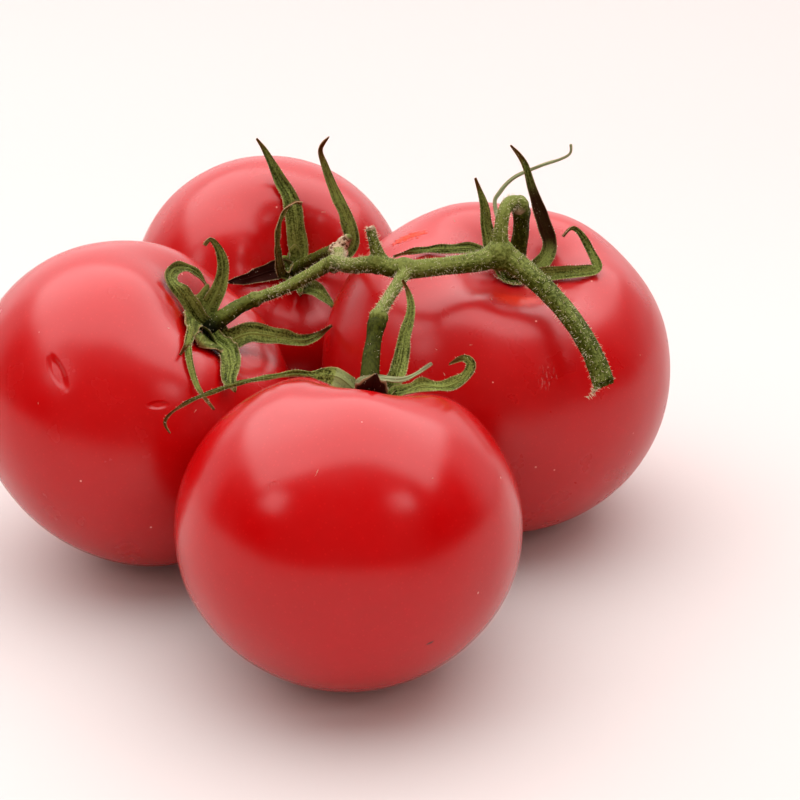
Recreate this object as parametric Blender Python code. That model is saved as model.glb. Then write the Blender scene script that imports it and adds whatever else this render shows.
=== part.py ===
"""A truss of four ripe tomatoes, lying as picked: the fruits, the calyx and stalk of
each, and the green stem that carries them.

Sizes are in millimetres and become metres where a mesh is made. +Z is up, the fruits
rest on Z = 0, and the origin is at the middle of the footprint."""
import math

import bmesh
import bpy
from mathutils import Matrix, Vector

MM = 0.001
GAP = 0.5  # left between a calyx and its fruit, which touch on the real truss
FLAT_DEPTH = 0.3  # how far a fruit is pressed flat where it rests

# The fruits. The front one is 67 mm across. "squat" is height over width, "lean" is how
# far the stem end leans along X and Y for each unit up, "top" and "base" fill out the
# shoulder and the underside where they are under 1, "dimple" is the width of the dimple
# over the radius, and "stem_at" is the stem end's place off the fruit's own axis.
FRUIT_ROUND = 34
FRUIT_RINGS = 21
RING_CROWD = 1.15  # over 1 sets the rings closer round the dimple
DIMPLE_DEPTH = 0.24  # of the fruit's radius, as the next two
LOBE_HEIGHT = 0.014
LOBE_REACH = 0.34
FRUITS = {
    "front": dict(at=(5.5, -58.2), radius=33.5, squat=0.935, lean=(0.0, 0.34), top=1.0, base=1.04,
                  dimple=0.30, stem_at=(4.0, 1.5), lobes=5, lobe_turn=0.6, colour=(0.62, 0.012, 0.010)),
    "right": dict(at=(36.5, 10.7), radius=38.3, squat=0.884, lean=(0.12, -0.285), top=0.856, base=0.931,
                  dimple=0.36, stem_at=(0.0, 0.0), lobes=6, lobe_turn=0.3, colour=(0.60, 0.012, 0.010)),
    "left": dict(at=(-40.9, -6.6), radius=36.0, squat=0.864, lean=(0.93, -0.095), top=0.852, base=0.949,
                 dimple=0.36, stem_at=(0.0, 0.0), lobes=5, lobe_turn=1.4, colour=(0.60, 0.012, 0.012)),
    "back": dict(at=(-15.7, 60.6), radius=33.2, squat=0.852, lean=(0.60, -1.335), top=0.859, base=0.949,
                 dimple=0.36, stem_at=(0.0, 0.0), lobes=6, lobe_turn=0.9, colour=(0.62, 0.016, 0.014)),
}

# The calyces. Each sepal leaves the cup at a bearing in degrees round the stem end, is
# so wide at its widest, and follows the points (out, aside, up) from the stem end. It
# starts at root (across, in) and turns by so many degrees from its root to its tip.
CUP_RADIUS = 5.0
CUP_HEIGHT = 1.4
SEPAL_THICK = 0.7
SEPAL_TIP = 0.6  # width left at the tip
SEPAL_ROOT = (1.8, 0.8)  # where every sepal starts, out and up from the stem end
SEPAL_STEP = 2.5  # between the sections of a sepal
SEPAL_TAPER = 1.8  # higher keeps a sepal broad for longer
SEPAL_WAIST = 0.75  # width at the root over the widest
SEPAL_CLEAR = 1.2  # from the skin of its own fruit to the middle of the blade
SEPALS = {
    "front": [
        dict(bearing=-165, width=4.6, taper=0.32, roll=(-50, -60), cup=0.2,
             way=((6, 1, 5), (11, 0.5, 6.4), (17, -0.5, 6.7), (24.5, -3, 5.3), (32.5, -6, 2.3),
                  (37, -7.5, -0.5), (38.5, -7.5, -2.5), (37.5, -7.5, -4.5))),
        dict(bearing=60, width=2.7, roll=(40, 24), cup=0.25,
             way=((4, -3, 5), (6.5, -3, 8), (10, -2, 13), (13.5, -1.5, 18), (15, 0, 21.5), (14.5, 1, 24))),
        dict(bearing=-10, width=2.4, roll=(35, 35), cup=0.2,
             way=((4.5, 0, 3), (9, -1, 2.5), (14, 0.5, 4), (18, 1.5, 6), (19.5, 2, 8.5), (18, 2.5, 9.8),
                  (15, 3.5, 8.5))),
        dict(bearing=-40, width=3.2, taper=0.7, roll=(50, 0), cup=0.2,
             way=((0, -4.5, 4), (4, -3, 6), (7.5, 0.5, 6), (9.5, 2.5, 7), (11.5, 5, 9))),
    ],
    "right": [
        dict(bearing=145, width=2.9, roll=(-40, -50), cup=0.3,
             way=((5, 1.5, 6), (8, 0.5, 10), (10, -0.5, 14), (13.5, -1, 19))),
        dict(bearing=110, width=1.0, roll=(0, 0), cup=0.0,
             way=((6.5, -0.5, 4), (14, 0, 9), (16, -1.5, 11), (17, -5, 14), (16, -10, 17),
                  (15, -14, 19), (14, -15.5, 21), (14.5, -15.5, 23))),
        dict(bearing=20, width=3.3, roll=(45, 40), cup=0.3,
             way=((5, 0, 2), (8, 1.5, 4), (9, 4, 6), (7.5, 7, 11), (5.5, 9.5, 16.5), (3.5, 11, 22),
                  (0, 11.5, 26.5))),
        dict(bearing=-5, width=2.3, roll=(40, 35), cup=0.2,
             way=((6, -1, 1.5), (12, -1.5, 3.5), (16.5, -0.5, 5.5), (17, 1, 6.5), (15, 3.5, 8.5),
                  (12.5, 5, 11), (10.5, 5, 12), (9, 3.5, 10.5))),
        dict(bearing=180, width=2.6, roll=(-20, -20), cup=0.2,
             way=((3.5, 0, 3.5), (9, -1, 6), (15, 0, 6), (21.5, 1, 5.5), (26, 2.5, 4.5))),
    ],
    "left": [
        dict(bearing=170, width=4.2, roll=(-40, -45), cup=0.2,
             way=((3.5, 1.5, 1), (7, 3, 1.5), (11.5, 4.5, 4), (14, 2.5, 6), (13.5, -1.5, 7),
                  (10.5, -4, 7.5), (7.5, -4.5, 7), (5, -4, 6))),
        dict(bearing=140, width=2.9, roll=(-62, -30), cup=0.3,
             way=((3.8, -0.5, 4), (5.5, -0.5, 8.5), (8, 0, 12.5), (11, 1, 14.5), (13, 3.5, 15.5),
                  (12.5, 4.5, 14))),
        dict(bearing=20, width=3.9, roll=(50, 50), cup=0.25,
             way=((3.6, -2, 2.2), (7, -1, 6.5), (13.5, -0.5, 9), (18.5, 0, 10.5), (22, 2, 12.5),
                  (24.5, 4.5, 15))),
        dict(bearing=-75, width=3.1, roll=(45, 36), cup=0.25,
             way=((4.5, 2, 1), (13.5, 2, 3.5), (21.5, 0.5, 5.5), (27.5, -0.5, 6.5))),
        dict(bearing=-90, width=1.5, roll=(10, 70), cup=0.0,
             way=((6, -1, -1), (18, 0.5, 0), (26, 2, 2), (32.5, 3.5, 4))),
        dict(bearing=-105, width=1.8, roll=(0, 0), cup=0.0,
             way=((5, 0, -1), (9.5, -0.5, -2))),
    ],
    "back": [
        dict(bearing=115, width=4.6, roll=(-25, -28), cup=0.3,
             way=((4, -1, 2), (9.5, -1, 3.5), (16.5, -1, 4), (23.5, 0.5, 4.5), (28.5, 2, 5),
                  (31.5, 3.5, 5.5))),
        dict(bearing=35, width=4.2, roll=(0, 50), cup=0.3,
             way=((4, 0, 3), (6.5, -1.5, 11.5), (9, 0, 17), (9.5, 5.5, 18), (9.5, 12.5, 18),
                  (9, 18, 19.5), (9, 21.5, 21), (11, 23, 23.5))),
        dict(bearing=165, width=2.2, roll=(0, -30), cup=0.1,
             way=((2.8, 3.2, 2), (6.5, 2.5, 9), (10, 0, 15), (11.5, -3.5, 19.5), (10.5, -6, 21.5),
                  (9, -6.5, 22))),
        dict(bearing=-155, width=4.0, roll=(0, 0), cup=0.25,
             way=((3.8, -1, 1), (7.5, -0.5, 2), (13.5, 0.5, 4.5), (19.5, 1, 7.5))),
        dict(bearing=-65, width=3.8, roll=(30, 30), cup=0.25,
             way=((4.2, 0.5, 2.2), (7.5, 0.5, 10.5), (13.5, 0.5, 18))),
        dict(bearing=-110, width=3.2, roll=(45, 45), cup=0.2,
             way=((4, 1.5, 4), (7, 3, 7))),
    ],
}

# The stem. A way holds (x, y, z, width) from where the branch starts to its end.
STEM_CURVE_SIDES = 3  # a bevel resolution, which makes a section of ten sides
STEM_STEP = 2.6  # between the sections of a branch
RACHIS = ((56.2, -33.5, 50.0, 4.4), (53.8, -28.5, 55.2, 4.1), (49.9, -22, 59.8, 4.1), (45.1, -15, 63.2, 4.3),
          (40.2, -10, 66.0, 4.7), (36, -8, 68.0, 5.3), (31.4, -10, 67.3, 4.2), (23.6, -13, 67.4, 3.7),
          (15.8, -15, 67.6, 3.9), (10.3, -12, 67.5, 3.7), (5, -6, 64.8, 3.2), (1.2, 2, 62.3, 3.1),
          (-3, 2, 60.0, 2.8), (-8.9, 0, 57.4, 2.5), (-14, -2.6, 56.4, 2.6), (-15.6, -3.3, 56.0, 3.1))
BRANCHES = {
    "right": ((36, -8, 67.0, 4.8), (36.1, -7.4, 72.0, 3.1), (36.7, -5.5, 76.0, 2.8), (38.2, -2.6, 77.4, 3.0),
              (39.9, -0.4, 76.5, 3.2), (40.3, 0.1, 75.6, 3.9)),
    "front": ((17, -15, 67.8, 3.0), (15.4, -19.5, 66.9, 2.6), (13.3, -27, 66.3, 2.4), (11.5, -35, 66.4, 2.7),
              (11.1, -36.8, 65.9, 3.6)),
    "back": ((1.6, 0, 62.4, 2.6), (2.2, 7, 60.8, 2.5), (2.2, 15, 59.0, 2.6), (1.8, 21, 57.4, 3.0),
             (1.6, 22.5, 56.9, 3.9)),
    "stub": ((11.6, -12.6, 67.2, 3.6), (10.8, -12, 70.0, 2.8), (9.9, -11.6, 73.0, 2.1),
             (9.3, -11.2, 75.4, 2.0)),
}
STALKS = {
    "right": ((40.7, 0.6, 74.1, 4.0), (40.8, 1, 72.5, 3.4), (40.7, 1.8, 68.5, 3.5), (39.9, 2.9, 61.8, 4.0)),
    "front": ((10.9, -37.8, 65.0, 3.7), (10.3, -40, 62.9, 3.1), (9.8, -43.5, 60.0, 3.5),
              (9.5, -47.5, 56.5, 4.0)),
    "left": ((-16.3, -3.6, 55.7, 3.1), (-18.6, -4.8, 55.0, 3.2), (-21.4, -7.0, 53.8, 3.5),
             (-22.0, -7.5, 53.6, 3.6)),
    "back": ((1.3, 23.3, 56.6, 3.8), (-0.6, 27.5, 54.6, 3.1), (-4.6, 36, 49.4, 3.3),
             (-7.5, 42.4, 45.2, 3.8)),
}
PITH_WIDTH = 2.2  # the hollow in the torn end
PITH_DEPTH = 2.5
SLIVER_LENGTH = 1.4  # the torn strip of skin beyond the end
SLIVER_WIDTH = 1.2
SLIVER_TIP = 0.3
SLIVER_ASIDE = 1.6  # from the middle of the end to the strip
SLIVER_SUNK = 1.5  # how deep the strip starts in the stem

STEM_GREEN = (0.10, 0.19, 0.045)
CALYX_GREEN = (0.12, 0.22, 0.05)


def clear_scene():
    for thing in list(bpy.data.objects):
        bpy.data.objects.remove(thing, do_unlink=True)


def material(name, colour, roughness):
    made = bpy.data.materials.new(name)
    made.use_nodes = True
    shader = made.node_tree.nodes["Principled BSDF"]
    shader.inputs["Base Color"].default_value = (*colour, 1.0)
    shader.inputs["Roughness"].default_value = roughness
    made.diffuse_color = (*colour, 1.0)
    return made


def add_object(name, mesh, finish=None):
    thing = bpy.data.objects.new(name, mesh)
    bpy.context.scene.collection.objects.link(thing)
    mesh.shade_smooth()
    mesh.set_sharp_from_angle(angle=math.radians(50))
    if finish:
        mesh.materials.clear()
        mesh.materials.append(finish)
    return thing


def face_outwards(shape):
    bmesh.ops.recalc_face_normals(shape, faces=shape.faces[:])
    if shape.calc_volume(signed=True) < 0:
        bmesh.ops.reverse_faces(shape, faces=shape.faces[:])


def add_from_bmesh(name, shape, finish=None):
    """Takes a closed shape in millimetres."""
    face_outwards(shape)
    shape.transform(Matrix.Scale(MM, 4))
    mesh = bpy.data.meshes.new(name)
    shape.to_mesh(mesh)
    shape.free()
    return add_object(name, mesh, finish)


def united(name, pieces, finish, solver="EXACT"):
    """One closed body out of overlapping pieces. The first is the one the others join."""
    group = bpy.data.collections.new(name + "_pieces")
    bpy.context.scene.collection.children.link(group)
    for piece in pieces[1:]:
        bpy.context.scene.collection.objects.unlink(piece)
        group.objects.link(piece)
    join = pieces[0].modifiers.new("join", "BOOLEAN")
    join.operation = "UNION"
    join.operand_type = "COLLECTION"
    join.collection = group
    join.solver = solver
    bpy.context.view_layer.update()
    graph = bpy.context.evaluated_depsgraph_get()
    mesh = bpy.data.meshes.new_from_object(pieces[0].evaluated_get(graph))
    for piece in pieces:
        bpy.data.objects.remove(piece, do_unlink=True)
    bpy.data.collections.remove(group)
    mesh.name = name
    return add_object(name, mesh, finish)


def smooth_way(points, step):
    """Places along a smooth curve through the points (Catmull-Rom), evenly spaced. A
    point's fourth number, where it has one, is carried along."""
    fine = []
    ends = [points[0], *points, points[-1]]
    for before, start, end, after in zip(ends, ends[1:], ends[2:], ends[3:]):
        for i in range(12):
            t = i / 12
            fine.append(tuple(
                b + 0.5 * t * (c - a + t * (2 * a - 5 * b + 4 * c - d) + t * t * (3 * b - a - 3 * c + d))
                for a, b, c, d in zip(before, start, end, after)))
    fine.append(tuple(points[-1]))
    reach = [0.0]
    for a, b in zip(fine, fine[1:]):
        reach.append(reach[-1] + math.dist(a[:3], b[:3]))
    count = max(4, round(reach[-1] / step) + 1)
    places = []
    k = 0
    for i in range(count):
        target = reach[-1] * i / (count - 1)
        while k < len(reach) - 2 and reach[k + 1] < target:
            k += 1
        share = (target - reach[k]) / max(reach[k + 1] - reach[k], 1e-9)
        places.append(tuple(a + (b - a) * share for a, b in zip(fine[k], fine[k + 1])))
    return places


def skin_height(fruit, x, y):
    """Height of the upper skin over the middle plane of a fruit, in the fruit's own axes."""
    radius = fruit["radius"]
    rho = math.hypot(x, y)
    sine = min(rho / radius, 1.0) ** (1 / fruit["top"])
    height = fruit["squat"] * radius * math.sqrt(max(0.0, 1 - sine * sine))
    off = math.hypot(x - fruit["stem_at"][0], y - fruit["stem_at"][1]) / radius
    dimple = DIMPLE_DEPTH * radius * math.exp(-(off / fruit["dimple"]) ** 2)
    shoulder = math.exp(-((rho / radius - 2 * LOBE_REACH) / LOBE_REACH) ** 2) * min(1.0, rho / radius * 3)
    turn = math.cos(fruit["lobes"] * math.atan2(y, x) + fruit["lobe_turn"]) * sine_fade(sine)
    return height - dimple + LOBE_HEIGHT * radius * shoulder * turn


def sine_fade(sine):
    """1 near the stem end and 0 where the upper skin meets the underside."""
    return max(0.0, 1 - sine ** 4)


def skin_point(fruit, angle, bearing):
    """A place on the skin, in the fruit's own axes. The angle runs from the stem end, 0, to the tip, pi."""
    above = angle < math.pi / 2
    power = fruit["top"] if above else fruit["base"]
    rho = fruit["radius"] * max(0.0, math.sin(angle)) ** power
    x = rho * math.cos(bearing)
    y = rho * math.sin(bearing)
    if above:
        return Vector((x, y, skin_height(fruit, x, y)))
    return Vector((x, y, fruit["squat"] * fruit["radius"] * math.cos(angle)))


def fruit_axes(fruit):
    """The fruit's own axes, with its middle as high as lets its lowest skin be pressed flat."""
    turn = Vector((0, 0, 1)).rotation_difference(Vector((*fruit["lean"], 1))).to_matrix()
    down = turn.inverted() @ Vector((0, 0, -1))
    lowest = max(
        skin_point(fruit, math.pi * i / 120, math.pi * j / 60).dot(down)
        for i in range(121) for j in range(120))
    return Matrix.Translation((*fruit["at"], lowest - FLAT_DEPTH)) @ turn.to_4x4()


def stem_end_axes(fruit):
    """The fruit's axes moved to the bottom of its dimple."""
    x, y = fruit["stem_at"]
    return fruit_axes(fruit) @ Matrix.Translation((x, y, skin_height(fruit, x, y)))


def add_fruit(name):
    fruit = FRUITS[name]
    shape = bmesh.new()
    bmesh.ops.create_uvsphere(shape, u_segments=FRUIT_ROUND, v_segments=FRUIT_RINGS, radius=1)
    axes = fruit_axes(fruit)
    for vert in shape.verts:
        angle = math.pi * (math.acos(max(-1.0, min(1.0, vert.co.z))) / math.pi) ** RING_CROWD
        vert.co = axes @ skin_point(fruit, angle, math.atan2(vert.co.y, vert.co.x))
    bmesh.ops.recalc_face_normals(shape, faces=shape.faces[:])
    everything = shape.verts[:] + shape.edges[:] + shape.faces[:]
    cut = bmesh.ops.bisect_plane(shape, geom=everything, plane_co=(0, 0, 0), plane_no=(0, 0, 1),
                                 clear_inner=True)
    rim = [item for item in cut["geom_cut"] if isinstance(item, bmesh.types.BMEdge)]
    bmesh.ops.contextual_create(shape, geom=rim)
    for vert in {vert for edge in rim for vert in edge.verts}:
        vert.co.z = 0.0
    add_from_bmesh("tomato_" + name, shape, material("skin_" + name, fruit["colour"], 0.28))


def skin_rise(fruit, place):
    """How far a place in the stem end's axes is above the skin there."""
    x, y = fruit["stem_at"]
    return place.z - skin_height(fruit, x + place.x, y + place.y) + skin_height(fruit, x, y)


def cup(fruit):
    shape = bmesh.new()
    bmesh.ops.create_uvsphere(shape, u_segments=14, v_segments=8, radius=1)
    for vert in shape.verts:
        over = (vert.co.z + 1) / 2
        vert.co.x *= CUP_RADIUS
        vert.co.y *= CUP_RADIUS
        vert.co.z = 0.0
        vert.co.z = GAP + CUP_HEIGHT * over - skin_rise(fruit, vert.co)
    return shape


def sepal(fruit, form):
    """A thin leaf with a folded middle, from inside the cup along its way. It keeps clear of the skin."""
    bearing = math.radians(form["bearing"])
    out = Vector((math.cos(bearing), math.sin(bearing), 0))
    aside = Vector((-math.sin(bearing), math.cos(bearing), 0))
    up = Vector((0, 0, 1))
    way = [tuple(out * SEPAL_ROOT[0] + up * SEPAL_ROOT[1])]
    way += [tuple(out * a + aside * b + up * c) for a, b, c in form["way"]]
    places = [Vector(place) for place in smooth_way(way, SEPAL_STEP)]
    last = len(places) - 1
    heading = [(places[min(i + 1, last)] - places[max(i - 1, 0)]).normalized() for i in range(last + 1)]
    side = aside.copy()
    sides = []
    for i, ahead in enumerate(heading):
        side = (side - ahead * side.dot(ahead)).normalized()
        roll = form["roll"][0] + (form["roll"][1] - form["roll"][0]) * i / last
        sides.append(Matrix.Rotation(math.radians(roll), 3, ahead) @ side)
    shape = bmesh.new()
    bmesh.ops.create_grid(shape, x_segments=2, y_segments=last, size=1)
    for vert in shape.verts:
        across = vert.co.x
        i = round((vert.co.y + 1) / 2 * last)
        share = i / last
        leaf = min(1.0, SEPAL_WAIST + 1.5 * share) * (1 - share ** form.get("taper", SEPAL_TAPER))
        width = SEPAL_TIP + (form["width"] - SEPAL_TIP) * leaf
        lift = heading[i].cross(sides[i])
        fold = form["cup"] * width * (0.5 - across ** 2)
        vert.co = places[i] + sides[i] * (across * width / 2) - lift * fold
        vert.co.z += max(0.0, SEPAL_CLEAR - skin_rise(fruit, vert.co))
    bmesh.ops.triangulate(shape, faces=shape.faces[:])
    shape.normal_update()
    for vert, normal in [(vert, vert.normal.copy()) for vert in shape.verts]:
        vert.co += normal * (SEPAL_THICK / 2)
    bmesh.ops.solidify(shape, geom=shape.faces[:], thickness=SEPAL_THICK)
    return shape


def add_calyx(name):
    fruit = FRUITS[name]
    axes = stem_end_axes(fruit)
    pieces = []
    for i, shape in enumerate([cup(fruit)] + [sepal(fruit, form) for form in SEPALS[name]]):
        shape.transform(axes)
        pieces.append(add_from_bmesh(f"calyx_{name}_{i}", shape))
    united("calyx_" + name, pieces, material("calyx_green_" + name, CALYX_GREEN, 0.6), "MANIFOLD")


def tube(name, way):
    """A closed round branch along a way, as a mesh object."""
    places = smooth_way(way, STEM_STEP)
    curve = bpy.data.curves.new(name, "CURVE")
    curve.dimensions = "3D"
    curve.bevel_depth = MM / 2
    curve.bevel_resolution = STEM_CURVE_SIDES
    curve.use_fill_caps = True
    spline = curve.splines.new("POLY")
    spline.points.add(len(places) - 1)
    for point, (x, y, z, width) in zip(spline.points, places):
        point.co = (x * MM, y * MM, z * MM, 1)
        point.radius = width
    drawn = bpy.data.objects.new(name, curve)
    bpy.context.scene.collection.objects.link(drawn)
    bpy.context.view_layer.update()
    graph = bpy.context.evaluated_depsgraph_get()
    mesh = bpy.data.meshes.new_from_object(drawn.evaluated_get(graph))
    bpy.data.objects.remove(drawn, do_unlink=True)
    shape = bmesh.new()
    shape.from_mesh(mesh)
    bmesh.ops.remove_doubles(shape, verts=shape.verts[:], dist=1e-6)
    face_outwards(shape)
    shape.to_mesh(mesh)
    shape.free()
    return add_object(name, mesh)


def add_stem():
    pieces = [tube("rachis", RACHIS)] + [tube("branch_" + name, way) for name, way in BRANCHES.items()]
    end = Vector(RACHIS[0][:3])
    outward = (end - Vector(RACHIS[1][:3])).normalized()
    turn = outward.to_track_quat("Z", "Y").to_matrix().to_4x4()
    sliver = bmesh.new()
    bmesh.ops.create_cone(sliver, cap_ends=True, segments=6, radius1=SLIVER_WIDTH / 2, radius2=SLIVER_TIP,
                          depth=SLIVER_LENGTH + 2 * SLIVER_SUNK)
    place = Matrix.Translation((-SLIVER_ASIDE, 0, SLIVER_LENGTH / 2))
    sliver.transform(Matrix.Translation(end) @ turn @ place)
    pieces.append(add_from_bmesh("sliver", sliver))
    stem = united("truss_stem", pieces, material("stem_green", STEM_GREEN, 0.55))
    pith = bmesh.new()
    bmesh.ops.create_cone(pith, cap_ends=True, segments=8, radius1=PITH_WIDTH / 4, radius2=PITH_WIDTH / 2,
                          depth=PITH_DEPTH * 2)
    pith.transform(Matrix.Translation(end) @ turn)
    cutter = add_from_bmesh("pith_cutter", pith)
    cutter.hide_render = True
    cutter.display_type = "WIRE"
    hollow = stem.modifiers.new("pith", "BOOLEAN")
    hollow.operation = "DIFFERENCE"
    hollow.object = cutter


def add_stalks():
    for name, way in STALKS.items():
        stalk = tube("pedicel_" + name, way)
        stalk.data.materials.append(material("stalk_green_" + name, STEM_GREEN, 0.5))


def main():
    clear_scene()
    for name in FRUITS:
        add_fruit(name)
        add_calyx(name)
    add_stem()
    add_stalks()


main()
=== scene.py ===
# A truss of four ripe tomatoes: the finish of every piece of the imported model
import math
import random

import bmesh
import bpy
from mathutils import Matrix, Vector, noise
from mathutils.bvhtree import BVHTree
from mathutils.kdtree import KDTree


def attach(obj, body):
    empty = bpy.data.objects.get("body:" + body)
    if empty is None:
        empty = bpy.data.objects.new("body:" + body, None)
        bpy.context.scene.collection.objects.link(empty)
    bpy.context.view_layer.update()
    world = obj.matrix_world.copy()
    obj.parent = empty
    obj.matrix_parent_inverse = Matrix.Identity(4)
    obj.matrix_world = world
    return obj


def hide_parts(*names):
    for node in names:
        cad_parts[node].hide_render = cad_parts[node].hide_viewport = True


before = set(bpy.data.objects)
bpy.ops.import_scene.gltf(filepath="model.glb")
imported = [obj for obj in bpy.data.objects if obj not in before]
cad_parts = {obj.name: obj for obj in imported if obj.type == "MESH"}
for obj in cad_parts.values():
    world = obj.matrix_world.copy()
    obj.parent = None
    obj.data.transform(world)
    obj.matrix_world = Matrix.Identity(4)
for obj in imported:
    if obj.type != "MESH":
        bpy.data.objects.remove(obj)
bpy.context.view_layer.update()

mm = 0.001
draw = random.Random(7)

# The camera stands where the photograph was taken from, in millimetres
camera = dict(at=(15.4, -436.4, 234.0), pitch=24.92, lens=100, sensor=36, frameSize=800)


# Ways, frames along them, and small mesh helpers
def smoothWay(points, step):
    # even places along a smooth curve through the points, a fourth number is carried along
    fine = []
    ends = [points[0], *points, points[-1]]
    for before, start, end, after in zip(ends, ends[1:], ends[2:], ends[3:]):
        for i in range(12):
            t = i / 12
            fine.append(tuple(
                b + 0.5 * t * (c - a + t * (2 * a - 5 * b + 4 * c - d) + t * t * (3 * b - a - 3 * c + d))
                for a, b, c, d in zip(before, start, end, after)))
    fine.append(tuple(points[-1]))
    reach = [0.0]
    for a, b in zip(fine, fine[1:]):
        reach.append(reach[-1] + math.dist(a[:3], b[:3]))
    count = max(4, round(reach[-1] / step) + 1)
    places = []
    k = 0
    for i in range(count):
        target = reach[-1] * i / (count - 1)
        while k < len(reach) - 2 and reach[k + 1] < target:
            k += 1
        share = (target - reach[k]) / max(reach[k + 1] - reach[k], 1e-9)
        places.append(tuple(a + (b - a) * share for a, b in zip(fine[k], fine[k + 1])))
    return places


def headings(points):
    last = len(points) - 1
    return [(points[min(i + 1, last)] - points[max(i - 1, 0)]).normalized() for i in range(last + 1)]


def carried(side, ahead):
    # the same side direction carried along a way without twisting
    sides = []
    for way in ahead:
        side = (side - way * side.dot(way)).normalized()
        sides.append(side)
    return sides


def addPiece(name, shape, material, nodes, smoothAngle=60):
    # a closed shape in millimetres becomes a piece that stands for its CAD nodes
    shape.transform(Matrix.Scale(mm, 4))
    mesh = bpy.data.meshes.new(name)
    shape.to_mesh(mesh)
    shape.free()
    return placePiece(name, mesh, material, nodes, smoothAngle)


def placePiece(name, mesh, material, nodes, smoothAngle=60):
    piece = bpy.data.objects.new(name, mesh)
    bpy.context.scene.collection.objects.link(piece)
    mesh.shade_smooth()
    mesh.set_sharp_from_angle(angle=math.radians(smoothAngle))
    mesh.materials.clear()
    mesh.materials.append(material)
    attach(piece, "root")
    if nodes:
        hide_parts(*nodes)
    return piece


def faceOutwards(shape):
    bmesh.ops.recalc_face_normals(shape, faces=shape.faces[:])
    if shape.calc_volume(signed=True) < 0:
        bmesh.ops.reverse_faces(shape, faces=shape.faces[:])


def addInto(shape, other):
    # moves one bmesh into another
    carrier = bpy.data.meshes.new("carrier")
    other.to_mesh(carrier)
    other.free()
    shape.from_mesh(carrier)
    bpy.data.meshes.remove(carrier)


def pixelRay(pixel):
    # the line of sight through a pixel of the photograph
    focal = camera["lens"] / camera["sensor"] * camera["frameSize"]
    half = camera["frameSize"] / 2
    look = Vector(((pixel[0] - half) / focal, (half - pixel[1]) / focal, -1)).normalized()
    turn = Matrix.Rotation(math.radians(90 - camera["pitch"]), 3, "X")
    return Vector(camera["at"]), turn @ look


# Node material helpers
class Nodes:
    def __init__(self, tree):
        self.tree = tree
        self.column = 0

    def add(self, kind, **values):
        node = self.tree.nodes.new(kind)
        node.location = (self.column * 180, -len(self.tree.nodes) % 5 * 160)
        self.column += 1
        inputs = values.pop("inputs", {})
        for key, value in values.items():
            setattr(node, key, value)
        for key, value in inputs.items():
            self.feed(value, node.inputs[key])
        return node

    def feed(self, value, socket):
        if isinstance(value, bpy.types.NodeSocket):
            self.tree.links.new(value, socket)
        else:
            socket.default_value = value

    def math(self, operation, *values, clamp=False):
        node = self.add("ShaderNodeMath", operation=operation, use_clamp=clamp)
        for i, value in enumerate(values):
            self.feed(value, node.inputs[i])
        return node.outputs[0]

    def vector(self, operation, *values, output=0):
        node = self.add("ShaderNodeVectorMath", operation=operation)
        for i, value in enumerate(values):
            self.feed(value, node.inputs[i])
        return node.outputs[output]

    def ramp(self, value, low, high, toLow=0.0, toHigh=1.0):
        node = self.add("ShaderNodeMapRange", interpolation_type="SMOOTHSTEP")
        for key, given in zip(("Value", "From Min", "From Max", "To Min", "To Max"),
                              (value, low, high, toLow, toHigh)):
            self.feed(given, node.inputs[key])
        return node.outputs[0]

    def mix(self, share, first, second, blend="MIX"):
        node = self.add("ShaderNodeMix", data_type="RGBA", blend_type=blend)
        self.feed(share, node.inputs[0])
        self.feed(first, node.inputs[6])
        self.feed(second, node.inputs[7])
        return node.outputs[2]

    def noise(self, vector, scale, detail=2.0, roughness=0.5):
        return self.add("ShaderNodeTexNoise", inputs={
            "Vector": vector, "Scale": scale, "Detail": detail, "Roughness": roughness}).outputs[0]

    def attribute(self, name):
        return self.add("ShaderNodeAttribute", attribute_name=name).outputs["Fac"]


def colour(red, green, blue):
    return (red, green, blue, 1.0)


def newGroup(name, inputs, outputs):
    group = bpy.data.node_groups.new(name, "ShaderNodeTree")
    for label, kind, value in inputs:
        socket = group.interface.new_socket(label, in_out="INPUT", socket_type=kind)
        if value is not None:
            socket.default_value = value
    for label, kind in outputs:
        group.interface.new_socket(label, in_out="OUTPUT", socket_type=kind)
    nodes = Nodes(group)
    return group, nodes, group.nodes.new("NodeGroupInput").outputs, group.nodes.new("NodeGroupOutput").inputs


def newMaterial(name):
    made = bpy.data.materials.new(name)
    made.use_nodes = True
    nodes = Nodes(made.node_tree)
    coords = nodes.add("ShaderNodeTexCoord").outputs["Object"]
    return made, nodes, made.node_tree.nodes["Principled BSDF"], coords


def placeGroup(nodes, group, **inputs):
    node = nodes.add("ShaderNodeGroup", node_tree=group)
    for key, value in inputs.items():
        nodes.feed(value, node.inputs[key])
    return node.outputs


# The skins: patterns in cycles a metre, heights in metres
# the pale pink of scratches is partly painted highlight, where a lamp's glint lies on them
skinColours = dict(deep=colour(0.395, 0.0, 0.0006), light=colour(0.475, 0.0004, 0.0018),
                   freckle=colour(0.72, 0.018, 0.014), dust=colour(0.85, 0.42, 0.34),
                   scar=colour(0.85, 0.060, 0.012), blush=colour(0.78, 0.040, 0.008),
                   spot=colour(0.10, 0.008, 0.003), scratch=colour(0.85, 0.26, 0.22))
skinForm = dict(cloud=34.0, mottle=420.0, freckles=900.0, freckleShade=0.16, dust=230.0, dustShade=0.75,
                dustRough=0.3, dustHeight=0.00003, haze=120.0, gloss=(0.20, 0.25), swell=75.0,
                swellHeight=0.00022, grain=1500.0, grainHeight=0.0000045)

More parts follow.
